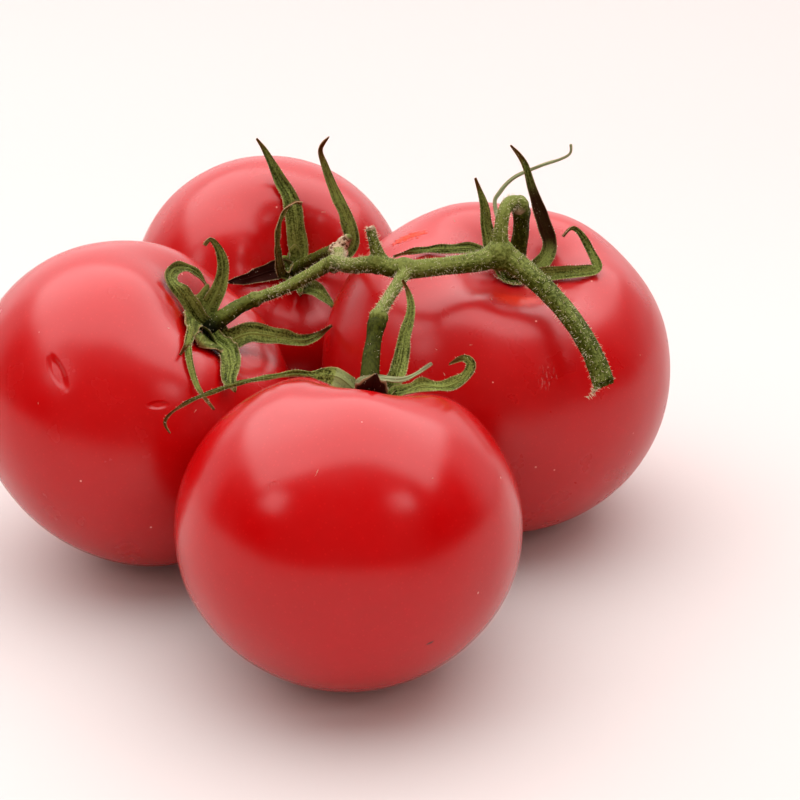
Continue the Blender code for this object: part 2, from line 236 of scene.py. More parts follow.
# A soft-edged mark on a skin: a scar, spot, blush, scratch or dent
def makeMarkGroup():
    group, nodes, given, out = newGroup("skinMark", [
        ("Vector", "NodeSocketVector", None), ("Centre", "NodeSocketVector", None),
        ("Along", "NodeSocketVector", (1, 0, 0)), ("Length", "NodeSocketFloat", 0.003),
        ("Width", "NodeSocketFloat", 0.001), ("Ragged", "NodeSocketFloat", 0.0),
        ("Grain", "NodeSocketFloat", 900.0)], [("Mask", "NodeSocketFloat")])
    stir = nodes.add("ShaderNodeTexNoise", inputs={
        "Vector": given["Vector"], "Scale": given["Grain"], "Detail": 3.0}).outputs["Color"]
    stir = nodes.vector("SUBTRACT", stir, (0.5, 0.5, 0.5))
    stir = nodes.vector("SCALE", stir)
    scale = stir.node
    nodes.feed(nodes.math("MULTIPLY", given["Ragged"], given["Width"]), scale.inputs["Scale"])
    off = nodes.vector("ADD", nodes.vector("SUBTRACT", given["Vector"], given["Centre"]), stir)
    along = nodes.vector("DOT_PRODUCT", off, given["Along"], output=1)
    square = nodes.vector("DOT_PRODUCT", off, off, output=1)
    aside = nodes.math("SUBTRACT", square, nodes.math("MULTIPLY", along, along))
    first = nodes.math("POWER", nodes.math("DIVIDE", along, given["Length"]), 2.0)
    second = nodes.math("DIVIDE", aside, nodes.math("MULTIPLY", given["Width"], given["Width"]))
    reach = nodes.math("SQRT", nodes.math("ADD", first, nodes.math("MAXIMUM", second, 0.0)))
    nodes.feed(nodes.ramp(reach, 1.0, 0.35), out["Mask"])
    return group


# The skin of a ripe tomato: deep red with faint mottling, freckles, dust and a slightly uneven surface
def makeSkinGroup():
    group, nodes, given, out = newGroup("tomatoSkin", [
        ("Vector", "NodeSocketVector", None), ("Deep", "NodeSocketColor", None),
        ("Light", "NodeSocketColor", None)],
        [("Color", "NodeSocketColor"), ("Roughness", "NodeSocketFloat"), ("Height", "NodeSocketFloat")])
    cloud = nodes.noise(given["Vector"], skinForm["cloud"], 2.0)
    mottle = nodes.noise(given["Vector"], skinForm["mottle"], 3.0)
    share = nodes.math("ADD", nodes.ramp(cloud, 0.35, 0.75, 0.0, 0.45),
                       nodes.ramp(mottle, 0.4, 0.75, 0.0, 0.22))
    shade = nodes.mix(share, given["Deep"], given["Light"])
    freckle = nodes.add("ShaderNodeTexVoronoi", inputs={
        "Vector": given["Vector"], "Scale": skinForm["freckles"]})
    freckles = nodes.ramp(freckle.outputs["Distance"], 0.26, 0.08)
    freckles = nodes.math("MULTIPLY", freckles, skinForm["freckleShade"])
    shade = nodes.mix(freckles, shade, skinColours["freckle"])
    dust = nodes.add("ShaderNodeTexVoronoi", inputs={"Vector": given["Vector"], "Scale": skinForm["dust"]})
    lot = nodes.add("ShaderNodeSeparateColor", inputs={"Color": dust.outputs["Color"]}).outputs[0]
    specks = nodes.ramp(dust.outputs["Distance"], 0.065, 0.035)
    specks = nodes.math("MULTIPLY", specks, nodes.ramp(lot, 0.80, 0.86))
    specks = nodes.math("MULTIPLY", specks, skinForm["dustShade"])
    nodes.feed(nodes.mix(specks, shade, skinColours["dust"]), out["Color"])
    haze = nodes.noise(given["Vector"], skinForm["haze"], 4.0)
    gloss = nodes.ramp(haze, 0.3, 0.8, *skinForm["gloss"])
    dusty = nodes.math("MULTIPLY", specks, skinForm["dustRough"])
    nodes.feed(nodes.math("ADD", gloss, dusty), out["Roughness"])
    swell = nodes.noise(given["Vector"], skinForm["swell"], 1.0)
    swell = nodes.math("MULTIPLY", swell, skinForm["swellHeight"])
    grain = nodes.noise(given["Vector"], skinForm["grain"], 2.0)
    grain = nodes.math("MULTIPLY", grain, skinForm["grainHeight"])
    raised = nodes.math("MULTIPLY", specks, skinForm["dustHeight"])
    nodes.feed(nodes.math("ADD", nodes.math("ADD", swell, grain), raised), out["Height"])
    return group


# Green tissue of stem and sepals: darker and lighter cells, and brown where it has dried
def makeLeafGroup():
    group, nodes, given, out = newGroup("greenTissue", [
        ("Vector", "NodeSocketVector", None), ("Dark", "NodeSocketColor", None),
        ("Light", "NodeSocketColor", None), ("Dried", "NodeSocketColor", None),
        ("Dry", "NodeSocketFloat", 0.0), ("Pale", "NodeSocketFloat", 0.0),
        ("Grain", "NodeSocketFloat", 700.0)],
        [("Color", "NodeSocketColor"), ("Height", "NodeSocketFloat")])
    cells = nodes.add("ShaderNodeTexNoise", inputs={
        "Vector": given["Vector"], "Scale": given["Grain"], "Detail": 4.0, "Roughness": 0.65}).outputs[0]
    cloud = nodes.noise(given["Vector"], 90.0, 2.0)
    share = nodes.math("ADD", nodes.ramp(cells, 0.38, 0.62, 0.0, 0.65),
                       nodes.ramp(cloud, 0.35, 0.7, 0.0, 0.35))
    share = nodes.math("ADD", share, given["Pale"], clamp=True)
    shade = nodes.mix(share, given["Dark"], given["Light"])
    patch = nodes.math("ADD", given["Dry"], nodes.math("MULTIPLY", nodes.math("SUBTRACT", cloud, 0.5), 0.9))
    nodes.feed(nodes.mix(nodes.ramp(patch, 0.35, 0.75), shade, given["Dried"]), out["Color"])
    nodes.feed(nodes.math("MULTIPLY", cells, 0.00012), out["Height"])
    return group


markGroup = makeMarkGroup()
skinGroup = makeSkinGroup()
leafGroup = makeLeafGroup()
print("node groups made")

# The fruits, in millimetres, from the same form as the solids. Satin is added to the skin's roughness,
# and marks and fibres of lint are placed by their pixels in the photograph.
fruitForm = dict(flatDepth=0.3, round=168, rings=116, ringCrowd=1.15, dimpleDepth=0.24, lobeHeight=0.014,
                 lobeReach=0.34, pleatHeight=0.0018, swellHeight=0.16, swellSize=15.0)
fruits = {
    "front": dict(at=(5.5, -58.2), radius=33.5, squat=0.935, lean=(0.0, 0.34), top=1.0, base=1.04,
                  dimple=0.30, stemAt=(4.0, 1.5), lobes=5, lobeTurn=0.6, satin=0.01,
                  lint=[(498, 418), (501, 424), (506, 436), (511, 447), (516, 460), (517, 470), (433, 478),
                        (318, 470)],
                  marks=[dict(kind="spot", pixel=(430, 643), length=1.1, width=0.45, turn=10),
                         dict(kind="scratch", pixel=(272, 486), length=2.6, width=1.0, turn=5)]),
    "right": dict(at=(36.5, 10.7), radius=38.3, squat=0.884, lean=(0.12, -0.285), top=0.856, base=0.931,
                  dimple=0.36, stemAt=(0.0, 0.0), lobes=6, lobeTurn=0.3, satin=0.07,
                  lint=[(455, 222), (437, 350), (470, 345), (492, 300), (570, 280), (640, 355), (445, 375)],
                  marks=[dict(kind="scar", pixel=(408, 237), length=5.0, width=2.4, turn=16),
                         dict(kind="blush", pixel=(517, 300), length=7.0, width=4.0, turn=0),
                         dict(kind="scratch", pixel=(548, 376), length=3.4, width=2.6, turn=80)]),
    "left": dict(at=(-40.9, -6.6), radius=36.0, squat=0.864, lean=(0.93, -0.095), top=0.852, base=0.949,
                 dimple=0.36, stemAt=(0.0, 0.0), lobes=5, lobeTurn=1.4, satin=0.035,
                 lint=[(38, 404), (168, 328), (196, 410)],
                 marks=[dict(kind="dent", pixel=(57, 372), length=5.2, width=1.9, turn=-58),
                        dict(kind="dent", pixel=(158, 405), length=2.6, width=1.0, turn=5)]),
    "back": dict(at=(-15.7, 60.6), radius=33.2, squat=0.852, lean=(0.60, -1.335), top=0.859, base=0.949,
                 dimple=0.36, stemAt=(0.0, 0.0), lobes=6, lobeTurn=0.9, satin=0.04,
                 lint=[(322, 212)], marks=[]),
}
lintForm = dict(lift=(0.3, 1.0), length=(0.9, 2.0))


def sineFade(sine):
    return max(0.0, 1 - sine ** 4)


def skinHeight(fruit, x, y):
    radius = fruit["radius"]
    rho = math.hypot(x, y)
    sine = min(rho / radius, 1.0) ** (1 / fruit["top"])
    height = fruit["squat"] * radius * math.sqrt(max(0.0, 1 - sine * sine))
    off = math.hypot(x - fruit["stemAt"][0], y - fruit["stemAt"][1]) / radius
    dimple = fruitForm["dimpleDepth"] * radius * math.exp(-(off / fruit["dimple"]) ** 2)
    reach = fruitForm["lobeReach"]
    shoulder = math.exp(-((rho / radius - 2 * reach) / reach) ** 2) * min(1.0, rho / radius * 3)
    turn = math.cos(fruit["lobes"] * math.atan2(y, x) + fruit["lobeTurn"]) * sineFade(sine)
    return height - dimple + fruitForm["lobeHeight"] * radius * shoulder * turn


def skinPoint(fruit, angle, bearing):
    above = angle < math.pi / 2
    power = fruit["top"] if above else fruit["base"]
    rho = fruit["radius"] * max(0.0, math.sin(angle)) ** power
    x = rho * math.cos(bearing)
    y = rho * math.sin(bearing)
    if above:
        return Vector((x, y, skinHeight(fruit, x, y)))
    return Vector((x, y, fruit["squat"] * fruit["radius"] * math.cos(angle)))


def fruitAxes(fruit):
    if "axes" not in fruit:
        turn = Vector((0, 0, 1)).rotation_difference(Vector((*fruit["lean"], 1))).to_matrix()
        down = turn.inverted() @ Vector((0, 0, -1))
        lowest = max(
            skinPoint(fruit, math.pi * i / 120, math.pi * j / 60).dot(down)
            for i in range(121) for j in range(120))
        fruit["axes"] = Matrix.Translation((*fruit["at"], lowest - fruitForm["flatDepth"])) @ turn.to_4x4()
    return fruit["axes"]


def stemEndAxes(fruit):
    x, y = fruit["stemAt"]
    return fruitAxes(fruit) @ Matrix.Translation((x, y, skinHeight(fruit, x, y)))


def fruitShape(fruit, seed):
    shape = bmesh.new()
    bmesh.ops.create_uvsphere(shape, u_segments=fruitForm["round"], v_segments=fruitForm["rings"], radius=1)
    axes = fruitAxes(fruit)
    radius = fruit["radius"]
    for vert in shape.verts:
        angle = math.pi * (math.acos(max(-1.0, min(1.0, vert.co.z))) / math.pi) ** fruitForm["ringCrowd"]
        bearing = math.atan2(vert.co.y, vert.co.x)
        place = skinPoint(fruit, angle, bearing)
        off = math.hypot(place.x - fruit["stemAt"][0], place.y - fruit["stemAt"][1]) / radius
        pleat = math.exp(-((off - 0.33) / 0.14) ** 2) * (angle < math.pi / 2)
        pleat *= math.cos(2 * fruit["lobes"] * bearing + 3 * noise.noise(Vector((bearing * 2, seed, 0))))
        swell = noise.noise(place / fruitForm["swellSize"] + Vector((0, 0, seed * 9)))
        rise = fruitForm["swellHeight"] * swell + fruitForm["pleatHeight"] * radius * pleat
        place += place.normalized() * rise
        vert.co = axes @ place
        vert.co.z = max(vert.co.z, 0.0)
    faceOutwards(shape)
    return shape


def markPlace(tree, mark):
    # where a mark lies on the skin, and the way that it runs
    start, look = pixelRay(mark["pixel"])
    place, normal, index, distance = tree.ray_cast(start, look)
    turn = math.radians(mark["turn"])
    acrossView = Vector((1, 0, 0))
    upView = look.cross(acrossView).normalized() * -1
    along = acrossView * math.cos(turn) + upView * math.sin(turn)
    return place, (along - normal * along.dot(normal)).normalized()


# What each kind of mark does to a skin: heights in metres, a dent's depth as a share of its width
markForm = dict(ragged=dict(scar=1.8, spot=0.5, blush=0.8, scratch=1.2, dent=0.0), dentDepth=0.28,
                cutDepth=0.00016, cutPaintedHighlight=0.35, crustGrain=1300.0, crustHeight=0.0011, crustRough=0.55,
                blushShade=0.6)


def skinMaterial(name, fruit, tree):
    made, nodes, shader, coords = newMaterial(name)
    skin = placeGroup(nodes, skinGroup, Vector=coords, Deep=skinColours["deep"], Light=skinColours["light"])
    shade = skin["Color"]
    height = skin["Height"]
    rough = nodes.math("ADD", skin["Roughness"], fruit["satin"])
    for mark in fruit["marks"]:
        place, along = markPlace(tree, mark)
        mask = placeGroup(nodes, markGroup, Vector=coords, Centre=place * mm, Along=along,
                          Length=mark["length"] * mm, Width=mark["width"] * mm,
                          Ragged=markForm["ragged"][mark["kind"]])["Mask"]
        if mark["kind"] == "dent":
            depth = mark["width"] * markForm["dentDepth"] * mm
            height = nodes.math("SUBTRACT", height, nodes.math("MULTIPLY", mask, depth))
        if mark["kind"] == "scratch":
            lines = nodes.add("ShaderNodeMapping", inputs={"Vector": coords, "Scale": (2600, 700, 700)})
            lines.inputs["Rotation"].default_value = (0, 0, math.radians(mark["turn"]))
            cuts = nodes.ramp(nodes.noise(lines.outputs[0], 1.0, 2.0), 0.55, 0.68)
            cuts = nodes.math("MULTIPLY", cuts, mask)
            height = nodes.math("SUBTRACT", height, nodes.math("MULTIPLY", cuts, markForm["cutDepth"]))
            # the scratches are real cuts in the bump, and their pale pink is painted highlight
            pale = nodes.math("MULTIPLY", cuts, markForm["cutPaintedHighlight"])
            shade = nodes.mix(pale, shade, skinColours["scratch"])
        if mark["kind"] == "scar":
            crust = nodes.noise(coords, markForm["crustGrain"], 4.0, 0.7)
            crusted = nodes.math("MULTIPLY", crust, mask)
            height = nodes.math("ADD", height, nodes.math("MULTIPLY", crusted, markForm["crustHeight"]))
            patchy = nodes.math("MULTIPLY", mask, nodes.ramp(crust, 0.25, 0.5))
            shade = nodes.mix(patchy, shade, skinColours["scar"])
            rough = nodes.math("ADD", rough, nodes.math("MULTIPLY", patchy, markForm["crustRough"]))
        if mark["kind"] == "blush":
            rosy = nodes.math("MULTIPLY", mask, markForm["blushShade"])
            shade = nodes.mix(rosy, shade, skinColours["blush"])
        if mark["kind"] == "spot":
            shade = nodes.mix(mask, shade, skinColours["spot"])
    bump = nodes.add("ShaderNodeBump", inputs={"Height": height, "Distance": 1.0, "Strength": 1.0})
    nodes.feed(shade, shader.inputs["Base Color"])
    nodes.feed(rough, shader.inputs["Roughness"])
    nodes.feed(bump.outputs[0], shader.inputs["Normal"])
    shader.inputs["IOR"].default_value = 1.45
    shader.inputs["Subsurface Weight"].default_value = 0.12
    shader.inputs["Subsurface Radius"].default_value = (1.0, 0.12, 0.06)
    shader.inputs["Subsurface Scale"].default_value = 0.004
    return made


def makeFruits(hairs):
    for seed, (name, fruit) in enumerate(fruits.items()):
        shape = fruitShape(fruit, seed)
        tree = BVHTree.FromBMesh(shape)
        for pixel in fruit["lint"]:
            start, look = pixelRay(pixel)
            place, normal, index, distance = tree.ray_cast(start, look)
            if place is None:
                continue
            across = Vector([draw.uniform(-1, 1) for axis in range(3)])
            across = (across - normal * across.dot(normal)).normalized()
            lean = (across + normal * draw.uniform(*lintForm["lift"])).normalized()
            hairs.append((place, lean, draw.uniform(*lintForm["length"])))
        material = skinMaterial("skin" + name.capitalize(), fruit, tree)
        addPiece("fruit" + name.capitalize(), shape, material, ["tomato_" + name])
    print("fruits made")


# The calyces, in millimetres. A sepal's way runs (out, aside, up) from the stem end, along its bearing.
# Roll is its twist from foot to tip, a high taper leaves it blunt, and thin says from where to where it
# narrows at once, and how much. Dry runs from fresh at -0.3 to brown at 0.5, and dark is a share of painted
# shade, a maroon black.
calyxForm = dict(webReach=3.5, webTooth=0.5, webAngle=24, webHeight=1.3, webGap=0.4, webHollow=0.6,
                 thick=0.5, edgeThin=0.5, tip=0.5, step=0.6, taper=1.8, waist=0.75, clear=0.8,
                 root=(1.8, 0.8), columns=12, wave=0.22, waveLength=5.5, webMore=dict(left=2.2),
                 webClimb=0.7, edgeHairs=0.5, faceHairs=0.06, hairLength=0.34, cupHairs=260,
                 cupHairLength=0.6)
sepals = {
    "front": [
        dict(bearing=-165, width=4.6, taper=1.6, thin=(0.16, 0.27, 0.82), roll=(-62, -72),
             cup=0.05, dry=-0.12,
             way=((6, 1, 5), (11, 0.5, 6.4), (17, -0.5, 6.7), (24.5, -3, 5.3), (32.5, -6, 2.3),
                  (37, -7.5, -0.5), (38.5, -7.5, -2.5), (37.5, -7.5, -4.5))),
        dict(bearing=60, width=3.6, roll=(38, 20), cup=0.22, dry=0.0,
             way=((4, -3, 5), (6.5, -3, 8), (10, -2, 13), (13.5, -1.5, 18), (15, 0, 21.5), (14.5, 1, 24))),
        dict(bearing=-10, width=3.1, taper=3.2, roll=(42, 60), cup=0.2, dry=0.05,
             way=((4.5, 0, 3), (9, -1, 2.5), (14, 0.5, 4), (18, 1.5, 6), (19.5, 2, 8.5), (18, 2.5, 9.8),
                  (15, 3.5, 8.5))),
        dict(bearing=-40, width=1.5, taper=2.2, roll=(52, 20), cup=0.1, dry=-0.2,
             way=((0, -3.5, 5), (4, -2.5, 6.3), (7.5, 0.5, 6), (9.5, 2.5, 7), (11.5, 5, 9))),
        dict(bearing=-88, width=6.2, taper=3.4, roll=(0, 0), cup=0.3, dry=0.1, dark=1.0,
             way=((5, 0.3, 3), (9.5, 0.4, 5.0), (11.5, 0.6, 6.4), (12.2, 1.0, 7.9))),
    ],
    "right": [
        dict(bearing=145, width=4.8, taper=1.1, roll=(-42, -48), cup=0.25, dry=0.3,
             way=((5, 1.5, 6), (8, 0.5, 10), (10, -0.5, 14), (13.5, -1, 19))),
        dict(bearing=110, width=1.0, roll=(0, 0), cup=0.0, dry=-0.3,
             way=((6.5, -0.5, 4), (14, 0, 9), (16, -1.5, 11), (17, -5, 14), (16, -10, 17),
                  (15, -14, 19), (14, -15.5, 21), (14.5, -15.5, 23))),
        dict(bearing=20, width=3.6, roll=(42, 34), cup=0.25, dry=0.35, dark=0.95, paintedShadeSpan=(0.20, 0.80),
             way=((5, 0, 2), (8, 1.5, 4), (9, 4, 6), (7.5, 7, 11), (5.5, 9.5, 16.5), (3.5, 11, 22),
                  (0, 11.5, 26.5))),
        dict(bearing=-5, width=3.2, roll=(50, 40), cup=0.25, dry=0.2,
             way=((6, -1, 1.5), (12, -1.5, 3.5), (16.5, -0.5, 5.5), (17, 1, 6.5), (15, 3.5, 8.5),
                  (12.5, 5, 11), (10.5, 5, 12), (9, 3.5, 10.5))),
        dict(bearing=180, width=3.0, roll=(-35, -30), cup=0.2, dry=0.2,
             way=((3.5, 0, 3.5), (9, -1, 6), (15, 0, 6), (21.5, 1, 5.5), (26, 2.5, 4.5))),
    ],
    "left": [
        dict(bearing=170, width=4.0, roll=(-62, -38), cup=0.15, dry=0.0,
             way=((3.5, 1.5, 1), (7, 3, 1.5), (11.5, 4.5, 4), (14, 2.5, 6), (13.5, -1.5, 7),
                  (10.5, -4, 7.5), (7.5, -4.5, 7), (5, -4, 6))),
        dict(bearing=140, width=4.4, taper=1.4, roll=(-58, -40), cup=0.2, dry=0.1,
             way=((3.8, -0.5, 4), (5.5, -0.5, 8.5), (8, 0, 12.5), (11, 1, 14.5), (13, 3.5, 15.5),
                  (12.5, 4.5, 14))),
        dict(bearing=20, width=4.8, roll=(50, 56), cup=0.2, dry=0.35,
             way=((3.6, -2, 2.2), (7, -1, 6.5), (13.5, -0.5, 9), (18.5, 0, 10.5), (22, 2, 12.5),
                  (24.5, 4.5, 15))),
        dict(bearing=-75, width=4.2, taper=7.0, roll=(52, 36), cup=0.2, dry=0.0,
             way=((4.5, 0.8, 1), (13.5, -0.2, 3.5), (21.5, -0.8, 5.5), (25.5, -0.4, 6.2))),
        dict(bearing=-90, width=2.1, roll=(10, 70), cup=0.1, dry=0.4,
             way=((6, -3, 1), (14, -5.8, 3.5), (20, -5.4, 3), (26, -0.5, 2.5), (32.5, 3.5, 4))),
        dict(bearing=-107, width=7.0, taper=0.9, roll=(0, 0), cup=0.05, dry=0.1,
             way=((6.5, -3.6, 3.4), (15, -2, 5.6), (19.5, -0.6, 5.2), (23, 0.3, 3.7))),
        dict(bearing=-93, width=12.0, taper=5.0, roll=(0, 0), cup=0.05, dry=0.0,
             way=((5, -1.2, 1.8), (10, -2.4, 4.5), (14, -3, 5.6), (17, -3, 5.2))),
    ],
    "back": [
        dict(bearing=115, width=4.9, roll=(-25, -28), cup=0.25, dry=0.25,
             way=((4, -1, 2), (9.5, -1, 3.5), (16.5, -1, 4), (23.5, 0.5, 4.5), (28.5, 2, 5),
                  (31.5, 3.5, 5.5))),
        dict(bearing=35, width=4.6, roll=(0, 50), cup=0.25, dry=0.2,
             way=((4, 0, 3), (6.5, -1.5, 11.5), (9, 0, 17), (9.5, 5.5, 18), (9.5, 12.5, 18),
                  (9, 18, 19.5), (9, 21.5, 21), (11, 23, 23.5))),
        dict(bearing=165, width=3.4, taper=0.6, roll=(-60, -70), cup=0.15, dry=0.3,
             way=((2.8, 3.2, 2), (6.5, 2.5, 9), (10, 0, 15), (11.5, -3.5, 19.5), (10.5, -6, 21.5),
                  (9, -6.5, 22))),
        dict(bearing=-155, width=4.8, roll=(-8, -8), cup=0.2, dry=0.5, dark=1.0,
             way=((3.8, -1, 1), (7.5, -0.5, 2), (13.5, 0.5, 4.5), (19.5, 1, 7.5))),
        dict(bearing=-65, width=4.6, roll=(36, 30), cup=0.2, dry=0.05,
             way=((4.2, 0.5, 2.2), (7.5, 0.5, 10.5), (13.5, 0.5, 18))),
        dict(bearing=-110, width=3.4, roll=(45, 45), cup=0.2, dry=0.4,
             way=((4, 1.5, 4), (7, 3, 7))),
    ],
}


def skinRise(fruit, place):
    x, y = fruit["stemAt"]
    return place.z - skinHeight(fruit, x + place.x, y + place.y) + skinHeight(fruit, x, y)


def leafLayers(shape):
    return {key: shape.verts.layers.float.get(key) or shape.verts.layers.float.new(key)
            for key in ("across", "along", "tipShare", "dry", "dark")}


def webShape(fruit, forms, reachOut):
    # the star that the sepals grow from, hollow where the stalk comes in
    shape = bmesh.new()
    bmesh.ops.create_uvsphere(shape, u_segments=90, v_segments=24, radius=1)
    layers = leafLayers(shape)
    rootOut, rootUp = calyxForm["root"]
    for vert in shape.verts:
        over = (vert.co.z + 1) / 2
        rim = math.hypot(vert.co.x, vert.co.y)
        bearing = math.atan2(vert.co.y, vert.co.x)
        tooth = 0.0
        climb = 0.0
        for form in forms:
            turn = (math.degrees(bearing) - form["bearing"] + 180) % 360 - 180
            near = math.exp(-(turn / calyxForm["webAngle"]) ** 2)
            out, aside, up = form["way"][0]
            tooth = max(tooth, near * min(form["width"], 4.6) * calyxForm["webTooth"])
            climb = max(climb, near * min(max(up - rootUp, 0) / max(out - rootOut, 2.0), 1.1))
        reach = rim * (reachOut + tooth + 0.25 * noise.noise(Vector((bearing * 3, 1.7, 0))))
        place = Vector((reach * math.cos(bearing), reach * math.sin(bearing), 0))
        thick = calyxForm["webHeight"] * (1 - 0.55 * rim ** 2)
        lift = climb * max(0.0, reach - rootOut) * calyxForm["webClimb"]
        place.z = calyxForm["webGap"] + thick * over + lift - skinRise(fruit, place)
        place.z -= calyxForm["webHollow"] * over * math.exp(-(reach / 2.6) ** 2)
        vert.co = place
        vert[layers["across"]] = 0.3 + 0.7 * rim ** 6
        vert[layers["along"]] = rim * 4
        vert[layers["dry"]] = 0.1
    return shape


def sepalShape(fruit, form, seed, hairs):
    bearing = math.radians(form["bearing"])
    out = Vector((math.cos(bearing), math.sin(bearing), 0))
    aside = Vector((-math.sin(bearing), math.cos(bearing), 0))
    up = Vector((0, 0, 1))
    way = [tuple(out * calyxForm["root"][0] + up * calyxForm["root"][1])]
    way += [tuple(out * a + aside * b + up * c) for a, b, c in form["way"]]
    places = [Vector(place) for place in smoothWay(way, calyxForm["step"])]
    last = len(places) - 1
    ahead = headings(places)
    sides = []
    for i, side in enumerate(carried(aside, ahead)):
        roll = form["roll"][0] + (form["roll"][1] - form["roll"][0]) * i / last
        sides.append(Matrix.Rotation(math.radians(roll), 3, ahead[i]) @ side)
    shape = bmesh.new()
    layers = leafLayers(shape)
    bmesh.ops.create_grid(shape, x_segments=calyxForm["columns"], y_segments=last, size=1)
    grown = bmesh.ops.extrude_face_region(shape, geom=shape.faces[:], use_keep_orig=True)["geom"]
    upper = {item for item in grown if isinstance(item, bmesh.types.BMVert)}
    waves = min(1.0, form["width"] / 3) * calyxForm["wave"]

    def bladePoint(i, across):
        share = i / last
        edge = math.copysign(1, across)
        taper = form.get("taper", calyxForm["taper"])
        leaf = min(1.0, calyxForm["waist"] + 1.5 * share) * (1 - share ** taper)
        thinFrom, thinTo, thinner = form.get("thin", (2.0, 3.0, 0.0))
        leaf *= 1 - thinner * min(1.0, max(0.0, (share - thinFrom) / (thinTo - thinFrom)))
        ragged = 1 + 0.16 * noise.noise(Vector((i * 0.16, seed * 5.1, 2 * edge))) * abs(across)
        width = (calyxForm["tip"] + (form["width"] - calyxForm["tip"]) * leaf) * ragged
        fold = form["cup"] * width * (0.5 - across ** 2)
        crinkle = waves * across ** 2 * math.sin(i * calyxForm["step"] * 6.28 / calyxForm["waveLength"] + seed
                                                 + 1.5 * edge)
        crinkle += waves * 1.8 * noise.noise(Vector((across * 1.5, i * 0.12, seed * 3.7)))
        return places[i] + sides[i] * (across * width / 2) + ahead[i].cross(sides[i]) * (crinkle - fold)

    sunk = []
    for i in range(last + 1):
        row = [bladePoint(i, across) for across in (-1, -0.5, 0, 0.5, 1)]
        sunk.append(max(max(0.0, calyxForm["clear"] - skinRise(fruit, place)) for place in row))
    raised = [sum(sunk[max(0, i - 3):i + 4]) / len(sunk[max(0, i - 3):i + 4]) for i in range(last + 1)]
    shadeFrom, shadeTo = form.get("paintedShadeSpan", (-1.0, 2.0))
    for vert in shape.verts:
        across = vert.co.x
        i = round((vert.co.y + 1) / 2 * last)
        share = i / last
        edge = math.copysign(1, across)
        lift = ahead[i].cross(sides[i])
        half = calyxForm["thick"] / 2 * (1 - calyxForm["edgeThin"] * across ** 2)
        half *= 1 if vert in upper else -1
        vert.co = bladePoint(i, across)
        vert.co.z += raised[i]
        vert.co.z += max(0.0, 0.5 * calyxForm["clear"] - skinRise(fruit, vert.co))
        vert.co += lift * half
        vert[layers["across"]] = across
        vert[layers["along"]] = i * calyxForm["step"]
        vert[layers["tipShare"]] = share
        vert[layers["dry"]] = form["dry"]
        if "thin" in form:
            vert[layers["dry"]] += min(1.0, max(0.0, (share - form["thin"][0]) * 8))
        # painted shade share, faded in and out along the sepal's length
        inside = min(1.0, max(0.0, (share - shadeFrom) / 0.12)) * min(1.0, max(0.0, (shadeTo - share) / 0.2))
        vert[layers["dark"]] = form.get("dark", 0.0) * inside
        onEdge = abs(across) > 0.85 and share < 0.95 and vert in upper
        if onEdge and draw.random() < calyxForm["edgeHairs"]:
            hairs.append((vert.co.copy(), sides[i] * edge, calyxForm["hairLength"]))
        elif draw.random() < calyxForm["faceHairs"]:
            hairs.append((vert.co.copy(), lift * math.copysign(1, half), calyxForm["hairLength"]))
    faceOutwards(shape)
    return shape


# the maroon black is painted shade on sepal faces that lie in shade
sepalColours = dict(dark=colour(0.012, 0.019, 0.0003), light=colour(0.178, 0.236, 0.052),
                    fresh=colour(0.27, 0.34, 0.20), dried=colour(0.085, 0.034, 0.006),
                    paintedShadeMaroon=colour(0.020, 0.004, 0.002), edge=colour(0.36, 0.26, 0.13))


def sepalMaterial():
    made, nodes, shader, coords = newMaterial("sepalLeaf")
    signed = nodes.attribute("across")
    across = nodes.math("ABSOLUTE", signed)
    share = nodes.attribute("tipShare")
    lengthwise = nodes.add("ShaderNodeCombineXYZ", inputs={
        "X": nodes.math("MULTIPLY", signed, 2.3), "Y": nodes.math("MULTIPLY", nodes.attribute("along"), 0.06),
        "Z": nodes.math("MULTIPLY", nodes.attribute("dry"), 9.0)})
    streak = nodes.noise(lengthwise.outputs[0], 1.1, 2.0, 0.55)
    rib = nodes.ramp(across, 0.14, 0.02)
    pale = nodes.math("ADD", nodes.math("MULTIPLY", rib, 0.35), nodes.ramp(streak, 0.36, 0.66, -0.22, 0.44))
    fresh = nodes.math("MAXIMUM", nodes.math("MULTIPLY", nodes.attribute("dry"), -3.0), 0.0)
    pale = nodes.math("ADD", pale, fresh)
    late = nodes.math("MULTIPLY", nodes.ramp(share, 0.70, 1.0), 0.65)
    dry = nodes.math("ADD", nodes.math("MULTIPLY", nodes.attribute("dry"), 0.45), late)
    tissue = placeGroup(nodes, leafGroup, Vector=coords, Dark=sepalColours["dark"],
                        Light=sepalColours["light"], Dried=sepalColours["dried"], Dry=dry, Pale=pale,
                        Grain=2600.0)
    young = nodes.ramp(nodes.attribute("dry"), -0.05, -0.2)
    # painted shade: the dark share turns the sepal maroon black past its foot
    paintedShadeMaroon = nodes.math("MULTIPLY", nodes.attribute("dark"), nodes.ramp(share, 0.0, 0.25, 0.55, 1.0))
    shade = nodes.mix(nodes.math("MULTIPLY", young, 0.7), tissue["Color"], sepalColours["fresh"])
    shade = nodes.mix(paintedShadeMaroon, shade, sepalColours["paintedShadeMaroon"])
    edge = nodes.math("MULTIPLY", nodes.ramp(across, 0.86, 0.99), 0.6)
    shade = nodes.mix(edge, shade, sepalColours["edge"])
    veins = nodes.math("MULTIPLY", nodes.math("ADD", rib, streak), 0.00016)
    height = nodes.math("ADD", tissue["Height"], veins)
    bump = nodes.add("ShaderNodeBump", inputs={"Height": height, "Distance": 1.0, "Strength": 0.9})
    nodes.feed(shade, shader.inputs["Base Color"])
    nodes.feed(bump.outputs[0], shader.inputs["Normal"])
    shader.inputs["Roughness"].default_value = 0.6
    shader.inputs["Specular IOR Level"].default_value = 0.03
    return made


